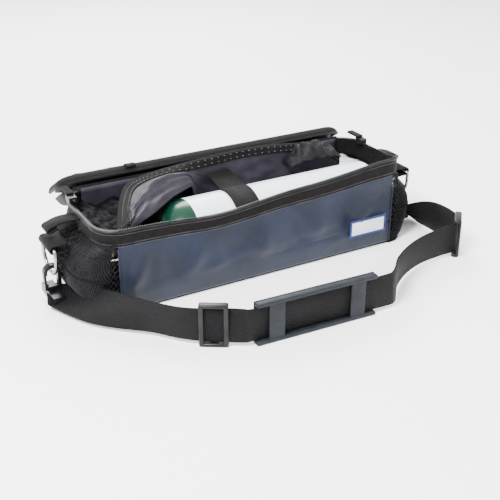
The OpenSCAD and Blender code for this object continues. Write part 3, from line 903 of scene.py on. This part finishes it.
class BAG_OT_lining(PieceOperator, bpy.types.Operator):
    """Padded lining and the sleeve that folds over the valve end"""
    bl_idname = "bag.lining"
    bl_label = "Lining"

    def execute(self, context):
        self.add_front_foam()
        self.add_rear_cloth()
        self.add_crumpled_cloth()
        self.add_gathered_cloth()
        self.add_sleeve()
        self.add_edging()
        return {"FINISHED"}

    def add_front_foam(self):
        """Foam lining behind the front panel."""
        def inside(u, v):
            x = -HALF_L + 3 * MM + (2 * HALF_L - 6 * MM) * u
            z = 5 * MM + (top_of_panel(x) + 8 * MM - 5 * MM) * v
            puff = 1.6 * MM * math.sin(math.pi * v) * (0.5 + 0.5 * noise(Vector((x * 30, z * 20, 5))))
            return Vector((x, -HALF_D + 5.5 * MM + puff, z))
        front = sheet("front_foam_lining", inside, 120, 20, "lining", 3 * MM)
        settle(front, "root", ["front_lining"])

    def add_rear_cloth(self):
        """Plain cloth on the rear wall, behind the sleeve."""
        def behind(u, v):
            x = -HALF_L + 4 * MM + (2 * HALF_L - 8 * MM) * u
            y = HALF_D - 4 * MM - 1.2 * MM * noise(Vector((x * 25, v * 3, 3)))
            return Vector((x, y, 5 * MM + (RIM_Z - 4 * MM) * v))
        inner = sheet("rear_inner_cloth", behind, 90, 20, "lining", 1.2 * MM)
        settle(inner, "root")

    def add_crumpled_cloth(self):
        """Crumpled cloth that fills the left end between the rim and the sleeve."""
        def well(u, v):
            y = -HALF_D + 9 * MM + (2 * HALF_D - 18 * MM) * v
            x = -MOUTH_L + 8 * MM + (MOUTH_L - HALF_L + 26 * MM + 30 * MM * v) * u
            crumple = 7.0 * noise(Vector((x * 48, y * 40, 6))) + 3.5 * noise(Vector((x * 130, y * 110, 2)))
            return Vector((x, y, 80 * MM + crumple * MM + 5 * MM * v))
        crumpled = sheet("left_well_cloth", well, 70, 70, "backing_shiny", 0.8 * MM)
        settle(crumpled, "root")

    def add_gathered_cloth(self):
        """Gathered lid cloth pushed together at the right rear corner."""
        def gather(u, v):
            x = 0.088 + 0.076 * u
            y = 0.028 + 0.034 * v + 3 * MM * noise(Vector((u * 5, v * 2, 7)))
            pleat = math.sin(u * 30 + 3 * v + 3 * noise(Vector((u * 4, v * 3, 2))))
            rise = math.sin(math.pi * min(1, v * 0.8 + 0.1)) * math.sin(math.pi * u) ** 0.5
            crest = 0.020 + 0.0035 * pleat + 0.004 * noise(Vector((u * 9, v * 6, 5)))
            return Vector((x, y, 0.086 + crest * rise))
        heap = sheet("right_gathered_cloth", gather, 90, 40, "cover", 1.2 * MM)
        settle(heap, "root")
        press_down(heap)

    def add_sleeve(self):
        """The padded sleeve itself."""
        made = sheet("padded_sleeve", sleeve, SLEEVE_COUNT, 56, "lining", 2.6 * MM, -1.0)
        settle(made, "root", ["rear_lining", "inner_sleeve"])
        press_down(made)

    def add_edging(self):
        """Binding folded over the sleeve's top edge, with two rows of stitches."""
        turn_at = 0.35

        def edging(u, v):
            k = sleeve_number(u)
            if v > turn_at:
                return on_sleeve(k, 9 * MM * (v - turn_at) / (1 - turn_at), 1.3 * MM)
            back = 1 - v / turn_at
            away = sleeve_inward(k) * (1.2 + 1.6 * ease(back * 2)) * MM
            return SLEEVE_TOP[k] - away + Vector((0, 0, 1.6 * MM - 8 * MM * back ** 1.6))
        bound = sheet("sleeve_binding", edging, SLEEVE_COUNT, 18, "tape", 1.0 * MM)
        settle(bound, "root")
        press_down(bound)
        for number, drop in enumerate((1.6 * MM, 7.0 * MM)):
            rows = [(on_sleeve(k, drop, 2.1 * MM), SLEEVE_TOP[k + 1] - SLEEVE_TOP[k - 1])
                    for k in range(2, SLEEVE_COUNT - 1, 2)]
            name = f"sleeve_stitches_{number}"
            press_down(stitch_line(name, rows, 2.0 * MM, 0.42 * MM, "root"))


def turned_about(place, angle):
    """A turn about a line through a place, along the bag."""
    return Matrix.Translation(place) @ Matrix.Rotation(angle, 4, "X") @ Matrix.Translation(-place)


# from the closed bag to the open lid: the rear half on its hinge, and the front half folded onto it
LID_OPEN = turned_about(LID_HINGE, -math.pi - LID_DROOP)
LID_FOLDED = LID_OPEN @ turned_about(Vector((0, 0, LID_HINGE.z)), math.pi)
LID_FLOOR = LID_HINGE.z + 0.5 * MM
TEETH_Z = LID_FLOOR + 3.4 * MM


def on_lid(y0, y1, inset, seed, u, v):
    """A point on one lid half, as x and y on the closed bag, with its share of puff and its ripple."""
    y = y0 + (y1 - y0) * v
    depth = max(abs(y) - (HALF_D - inset - MOUTH_R), 0)
    cut = MOUTH_R - math.sqrt(max(MOUTH_R ** 2 - depth ** 2, 0))
    x = (2 * u - 1) * (MOUTH_L - inset - cut)
    edge = min(1, min(u, 1 - u) * 2 * MOUTH_L / (11 * MM))
    side = min(1, min(v, 1 - v) * abs(y1 - y0) / (10 * MM))
    puff = math.sqrt((1 - (1 - edge) ** 2) * (1 - (1 - side) ** 2))
    gather = 1 + 1.4 * ease((abs(x) - 90 * MM) / (70 * MM))
    slow, fine = noise(Vector((x * 24, y * 30, seed))), noise(Vector((x * 75, y * 60, seed)))
    return x, y, puff, 1.5 * MM * gather * (slow + 0.5 * fine) * puff


class BAG_OT_lid(PieceOperator, bpy.types.Operator):
    """Padded lid folded open behind the bag"""
    bl_idname = "bag.lid"
    bl_label = "Lid"

    def execute(self, context):
        self.add_half("lid_rear", 1.5 * MM, HALF_D - 4.5 * MM, 7 * MM, LID_OPEN, 2.0)
        self.add_half("lid_front", -HALF_D + 9 * MM, -1.5 * MM, 8 * MM, LID_FOLDED, 6.0)
        self.add_zip()
        self.add_tab()
        self.add_hinge_cloth()
        return {"FINISHED"}

    def add_half(self, body, y0, y1, inset, turn, seed):
        """One padded half of the lid, from y0 to y1 on the closed bag, turned to its open place."""
        across, down = 170, 28
        half_t, crown = LID_T * 0.46, 7 * MM
        verts, faces, row = [], [], across + 1
        for outer in (False, True):
            for j in range(down + 1):
                for i in range(across + 1):
                    x, y, puff, ripple = on_lid(y0, y1, inset, seed, i / across, j / down)
                    swell = half_t * (0.12 + 0.88 * puff)
                    lift = swell + crown * puff + ripple if outer else -swell
                    verts.append(turn @ Vector((x, y, LID_FLOOR + half_t + lift)))
        size = row * (down + 1)
        for a, b, c, d in grid_faces(across, down):
            faces += [(a, d, c, b), (size + a, size + b, size + c, size + d)]
        for j in range(down):
            near, far = j * row, j * row + across
            faces.append((near, size + near, size + near + row, near + row))
            faces.append((far + row, size + far + row, size + far, far))
        last = down * row
        for i in range(across):
            faces.append((i, i + 1, size + i + 1, size + i))
            faces.append((last + i + 1, last + i, size + last + i, size + last + i + 1))
        made = new_object(f"{body}_pad", verts, faces, "cover")
        settle(made, body, [f"{body}_half"])

    def add_zip(self):
        """Zip tape that curls up round the lid's edge, and its teeth."""
        plan = [p for p in rim_plan(-2 * MM) if p.y < -0.5 * MM]
        line = [LID_FOLDED @ Vector((p.x, p.y, TEETH_Z)) for p in plan]
        count = len(line) - 1
        lid_up = (LID_FOLDED.to_3x3() @ Vector((0, 0, 1))).normalized()

        def tape(u, v):
            k = min(int(round(u * count)), count)
            curl = math.pi / 2 * v
            climb, inward = 9.8 * MM * math.sin(curl), 13 * MM * (1 - math.cos(curl))
            point = Vector((plan[k].x, plan[k].y, TEETH_Z + climb))
            return LID_FOLDED @ (point - outward(plan, k) * inward)

        def out_of(points, k):
            ahead = (points[k + 1] - points[k - 1]).normalized()
            return ahead.cross(lid_up).normalized()
        band = sheet("lid_zip_tape", tape, count, 8, "tape", 1.4 * MM)
        settle(band, "lid_front", ["lid_zip_band"])
        zip_teeth("lid_zip_teeth", line, 0.0, out_of, "lid_front", ["lid_zip_chain"], self.sizes.tooth_pitch)

    def add_tab(self):
        """Small fabric tab on the lid's edge."""
        turns = ((0.070, 0.1085), (0.067, 0.1125), (0.073, 0.1135), (0.078, 0.1100), (0.078, 0.1055))
        tab = smooth_path([Vector((-0.106, y, z)) for y, z in turns], 4)
        pull = ribbon("lid_pull_tab", tab, ALONG_X, 12 * MM, 1.6 * MM, "webbing")
        settle(pull, "lid_front")

    def add_hinge_cloth(self):
        """Cloth strip between the rear panel and the lid."""
        def strip(u, v):
            x = (2 * u - 1) * (HALF_L + 2 * MM)
            lid_side = LID_OPEN @ Vector((x, HALF_D - 5 * MM, LID_FLOOR + 1.5 * MM))
            bag_side = Vector((x, HALF_D - 1 * MM, RIM_Z - 4 * MM))
            top = Vector((x, HALF_D + 2 * MM, RIM_Z + 4.5 * MM))
            return bag_side * (1 - v) ** 2 + top * 2 * v * (1 - v) + lid_side * v ** 2
        made = sheet("lid_hinge_cloth", strip, 80, 10, "tape", 1.0 * MM)
        settle(made, "root")


class BAG_OT_retainer(PieceOperator, bpy.types.Operator):
    """Webbing strap over the cylinder with its hook patch"""
    bl_idname = "bag.retainer"
    bl_label = "Cylinder strap"

    def execute(self, context):
        low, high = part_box("retaining_strap")
        x, width = (low.x + high.x) / 2, high.x - low.x
        over_gas = GAS_R + 1.5 * MM
        path = [Vector((x, HALF_D - 9 * MM, RIM_Z - 8 * MM)), Vector((x, 0.030, 0.0898))]
        path += [Vector((x, y, GAS_Z + z)) for y, z in arc_points(over_gas, 76, 165, 8)]
        made = ribbon("retaining_webbing", smooth_path(path, 5), ALONG_X, width, 1.8 * MM, "retainer")
        settle(made, "retainer", ["retaining_strap"])
        rear = [Vector((x, HALF_D - 9 * MM, RIM_Z - 8 * MM)), Vector((x, HALF_D - 10.5 * MM, RIM_Z + 1 * MM)),
                Vector((x, HALF_D - 9.5 * MM, RIM_Z + 6 * MM))]
        tail = ribbon("retaining_webbing_tail", smooth_path(rear, 4), ALONG_X, width, 1.6 * MM, "retainer")
        settle(tail, "root")
        low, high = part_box("hook_patch")
        patch = blocks("hook_tape_patch", [((low + high) / 2, high - low, 0.4 * MM)], "backing")
        settle(patch, "root", ["hook_patch"])
        return {"FINISHED"}


class BAG_OT_cylinder(PieceOperator, bpy.types.Operator):
    """Enamelled gas cylinder and its brass valve"""
    bl_idname = "bag.cylinder"
    bl_label = "Cylinder and valve"

    def execute(self, context):
        right, left, edge = GAS_HIGH.x, SHOULDER_X, 9 * MM
        neck_r, bore_r, neck_l = 14 * MM, 8.4 * MM, 4 * MM
        outline = [(right, 0.02 * MM), (right, GAS_R - edge)]
        outline += [(right - edge + x, GAS_R - edge + r) for x, r in arc_points(edge, 0, 91, 10)]
        outline += [(right + (left - right) * k / 24, GAS_R) for k in range(1, 25)]
        outline += [(left - x, r) for r, x in arc_points(GAS_R, 5, 71, 5)]
        outline += [(GAS_LOW.x + neck_l, neck_r), (GAS_LOW.x, neck_r), (GAS_LOW.x, bore_r)]
        sides, verts, faces = 96, [], []
        for x, radius in outline:
            for s in range(sides):
                a = 2 * math.pi * s / sides
                verts.append((x, radius * math.cos(a), GAS_Z + radius * math.sin(a)))
        for k in range(len(outline) - 1):
            for s in range(sides):
                t = (s + 1) % sides
                faces.append((k * sides + s, k * sides + t, (k + 1) * sides + t, (k + 1) * sides + s))
        made = new_object("gas_cylinder", verts, faces, "enamel")
        made.data.set_sharp_from_angle(angle=math.radians(40))
        settle(made, "cylinder", ["cylinder_shell"])
        finishes = {"post_valve": "brass", "packing_nut": "brass",
                    "valve_seal": "seal", "valve_stem": "steel"}
        for node, material in finishes.items():
            dress(node, material, 0.4 * MM)
        return {"FINISHED"}


def dress(node, material, round_by):
    """Gives a CAD piece its finish and a small rounded edge."""
    made = frame["nodes"][node]
    made.data.materials.clear()
    made.data.materials.append(MATERIALS[material])
    if round_by:
        soften = made.modifiers.new("edge", "BEVEL")
        soften.width, soften.segments = round_by, 2
        soften.limit_method, soften.angle_limit = "ANGLE", math.radians(40)


class BAG_OT_hardware(PieceOperator, bpy.types.Operator):
    """D-rings, snap hooks, sliders, loops and tabs"""
    bl_idname = "bag.hardware"
    bl_label = "Hardware"

    def execute(self, context):
        finishes = {"snap_hook": ("acetal", 0.9 * MM), "hook_gate": ("buckle", 0.4 * MM),
                    "swivel_eye": ("acetal", 1.0 * MM), "zip_slider": ("buckle", 0.8 * MM),
                    "zip_pull": ("tape", 0.7 * MM)}
        for side, word in SIDES:
            for part, (material, round_by) in finishes.items():
                dress(f"{word}_{part}", material, round_by)
            self.add_ring(side * RING_X, word)
            self.add_ring_loop(side, word)
            self.add_end_tab(side, word)
        self.add_label()
        dress("base_board", "board", 0)
        return {"FINISHED"}

    def add_ring(self, x, word):
        """Wire D-ring: a straight bar on top, two short legs and a half circle."""
        half, drop = 21 * MM, RING_Z - 12 * MM
        wire = [Vector((x, y * MM, RING_Z)) for y in range(-18, 19, 6)]
        wire += [Vector((x, half, RING_Z - 2 * MM)), Vector((x, half, drop))]
        wire += [Vector((x, y, drop - z)) for y, z in arc_points(half, 10, 171, 10)]
        wire += [Vector((x, -half, drop)), Vector((x, -half, RING_Z - 2 * MM))]
        ring = tube(f"{word}_wire_ring", wire, 2 * MM, "steel", loop=True, sides=12)
        settle(ring, f"{word}_d_ring", [f"{word}_d_ring"])

    def add_ring_loop(self, side, word):
        """Webbing wrapped round the ring's straight bar and sewn to the end."""
        x, wrap = side * RING_X, 4.2 * MM
        inner = x - side * 15 * MM
        loop = [Vector((inner, 0, RING_Z - 5 * MM)), Vector((x - side * 6 * MM, 0, RING_Z - wrap))]
        loop += [Vector((x + side * out, 0, RING_Z - down)) for down, out in arc_points(wrap, 0, 181, 20)]
        loop += [Vector((x - side * 6 * MM, 0, RING_Z + wrap)), Vector((inner, 0, RING_Z + 5 * MM))]
        made = ribbon(f"{word}_ring_webbing", smooth_path(loop, 3), ALONG_Y, 37 * MM, 2 * MM, "webbing")
        settle(made, "root", [f"{word}_ring_loop"])

    def add_end_tab(self, side, word):
        """Folded tab that stands out from the end of the zip."""
        low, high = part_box(f"{word}_end_tab")
        start, end = (high.x, low.x + 9 * MM) if side < 0 else (low.x, high.x)
        y = (low.y + high.y) / 2
        # distances along the bag and below the rim
        turns = [(start - side * 1 * MM, 9.0), ((start + end) / 2, 8.5), (end - side * 5 * MM, 12.0),
                 (end, 15.0), (end - side * 2.5 * MM, 18.0), (end - side * 12 * MM, 14.5)]
        tab = smooth_path([Vector((x, y, RIM_Z - below * MM)) for x, below in turns], 6)
        made = ribbon(f"{word}_tab_webbing", tab, ALONG_Y, 0.8 * (high.y - low.y), 2.2 * MM, "webbing")
        settle(made, "root", [f"{word}_end_tab"])

    def add_label(self):
        """Plain label with a raised border and no lettering."""
        low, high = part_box("label_patch")
        size, bar, proud = high - low, 2.6 * MM, -0.2 * MM
        centre = (low + high) / 2 + Vector((0, -4.6 * MM, 0))
        face = (size.x - 5 * MM, 1.0 * MM, size.z - 5 * MM)
        plate = blocks("plain_label", [(centre, face, 0.4 * MM)], "label")
        settle(plate, "root", ["label_patch"])
        across, upright = (size.x, 1.5 * MM, bar), (bar, 1.5 * MM, size.z - bar)
        out_x, out_z = (size.x - bar) / 2, (size.z - bar) / 2
        border = [(centre + Vector((0, proud, s * out_z)), across, 0.6 * MM) for s in (-1, 1)]
        border += [(centre + Vector((s * out_x, proud, 0)), upright, 0.6 * MM) for s in (-1, 1)]
        settle(blocks("plain_label_border", border, "label_edge"), "root")


# route of the shoulder webbing, in metres: the same points as the CAD runs
STRAP_ROUTE = [
    (-0.2390, 0.0000, 0.0112), (-0.2300, -0.0040, 0.0112), (-0.2210, -0.0220, 0.0130),
    (-0.2080, -0.0600, 0.0190), (-0.1900, -0.0920, 0.0230), (-0.1680, -0.1200, 0.0240),
    (-0.1500, -0.1425, 0.0240), (-0.1335, -0.1568, 0.0240), (-0.1208, -0.1648, 0.0240),
    (-0.1078, -0.1729, 0.0240), (-0.0950, -0.1814, 0.0240), (-0.0890, -0.1840, 0.0240),
    (-0.0600, -0.1853, 0.0240), (-0.0250, -0.1869, 0.0240), (0.0250, -0.1891, 0.0240),
    (0.0740, -0.1913, 0.0240), (0.0840, -0.1890, 0.0240), (0.0920, -0.1820, 0.0240),
    (0.1100, -0.1630, 0.0240), (0.1380, -0.1450, 0.0240), (0.1700, -0.1330, 0.0240),
    (0.2040, -0.1280, 0.0240), (0.2240, -0.1270, 0.0240), (0.2280, -0.1243, 0.0240),
    (0.2340, -0.1177, 0.0240), (0.2380, -0.1150, 0.0240), (0.2430, -0.0900, 0.0240),
    (0.2420, -0.0580, 0.0220), (0.2330, -0.0250, 0.0140), (0.2310, -0.0050, 0.0112)]


def standing(place, degrees):
    """The place of a piece on the webbing, turned about the vertical."""
    return Matrix.Translation(place) @ Matrix.Rotation(math.radians(degrees), 4, "Z")


class BAG_OT_strap(PieceOperator, bpy.types.Operator):
    """Shoulder webbing with its pad and buckles"""
    bl_idname = "bag.strap"
    bl_label = "Shoulder strap"

    def execute(self, context):
        path = smooth_path(STRAP_ROUTE, 8)
        count = len(path)

        def stand(k):
            """The webbing lies flat at its ends, twists up, and leans back a little along the front."""
            point = path[k]
            ahead = (path[min(k + 1, count - 1)] - path[max(k - 1, 0)]).normalized()
            side = Vector((ahead.y, -ahead.x, 0)).normalized()
            left = 1 - ease((k / count - 0.02) / 0.16)
            right = ease((k / count - 0.91) / 0.09)
            flat = max(left, right) * 0.92
            wobble = 0.08 * math.sin(k * 0.11)
            angle = math.pi / 2 * flat + wobble * (1 - flat)
            return Vector((0, 0, 1)) * math.cos(angle) - side * math.sin(angle)
        made = ribbon("shoulder_webbing", path, stand, WEB_W, 1.9 * MM, "webbing")
        runs = ("left", "pad", "right", "turn", "return")
        settle(made, "root", [f"strap_{run}_run" for run in runs])
        self.add_pad(standing(Vector((-0.013, -0.18742, WEB_Z)), -2.58))
        self.add_buckle("left", standing(Vector((-0.1206, -0.1649, WEB_Z)), -32))
        self.add_buckle("right", standing(Vector((0.231, -0.121, WEB_Z)), 48))
        return {"FINISHED"}

    def add_pad(self, turn):
        """Moulded pad: a back plate, two rails and two bars that hold the webbing."""
        length, height, rail = 142 * MM, 48 * MM, 4.6 * MM
        parts = [((0, 3.6 * MM, 0), (length, 3.8 * MM, height), 1.6 * MM)]
        for s in (-1, 1):
            parts.append(((0, -1.0 * MM, s * (height - rail) / 2), (length, 8.6 * MM, rail), 1.9 * MM))
        for s in (-1, 1):
            parts.append(((s * 48 * MM, -2.9 * MM, 0), (18 * MM, 2.8 * MM, height - 1 * MM), 1.1 * MM))
        pad = blocks("moulded_pad", parts, "rubber", turn)
        settle(pad, "shoulder_pad", ["shoulder_pad"])

    def add_buckle(self, word, turn):
        """Three-bar buckle: two long sides, two end bars in front and the middle bar behind."""
        length, end_bar = 30 * MM, 5 * MM
        parts = [((0, 0, s * 22 * MM), (length, 8.4 * MM, 4.2 * MM), 1.8 * MM) for s in (-1, 1)]
        for s in (-1, 1):
            middle = (s * (length - end_bar) / 2, -2.8 * MM, 0)
            parts.append((middle, (end_bar, 3.4 * MM, 46 * MM), 1.4 * MM))
        parts.append(((0, 2.9 * MM, 0), (9 * MM, 3.0 * MM, 44 * MM), 1.2 * MM))
        made = blocks(f"{word}_slide_buckle", parts, "buckle", turn)
        settle(made, "root", [f"{word}_tri_glide"])


class BAG_PT_panel(bpy.types.Panel):
    """Lists every step of the bag"""
    bl_label = "Cylinder bag"
    bl_idname = "BAG_PT_panel"
    bl_space_type = "VIEW_3D"
    bl_region_type = "UI"
    bl_category = "Cylinder bag"

    def draw(self, context):
        for step in STEPS:
            self.layout.operator(step.bl_idname)


STEPS = (BAG_OT_stage, BAG_OT_panels, BAG_OT_mesh_ends, BAG_OT_rim, BAG_OT_lining, BAG_OT_lid,
         BAG_OT_retainer, BAG_OT_cylinder, BAG_OT_hardware, BAG_OT_strap)
CLASSES = (BagColours, BagSizes) + STEPS + (BAG_PT_panel,)


def register():
    for kind in CLASSES:
        bpy.utils.register_class(kind)
    bpy.types.Scene.bag_colours = bpy.props.PointerProperty(type=BagColours)
    bpy.types.Scene.bag_sizes = bpy.props.PointerProperty(type=BagSizes)


def unregister():
    del bpy.types.Scene.bag_sizes
    del bpy.types.Scene.bag_colours
    for kind in reversed(CLASSES):
        bpy.utils.unregister_class(kind)


def main():
    register()
    make_materials(bpy.context.scene.bag_colours)
    for step in STEPS:
        group, name = step.bl_idname.split(".")
        getattr(getattr(bpy.ops, group), name)()


if __name__ == "__main__":
    main()
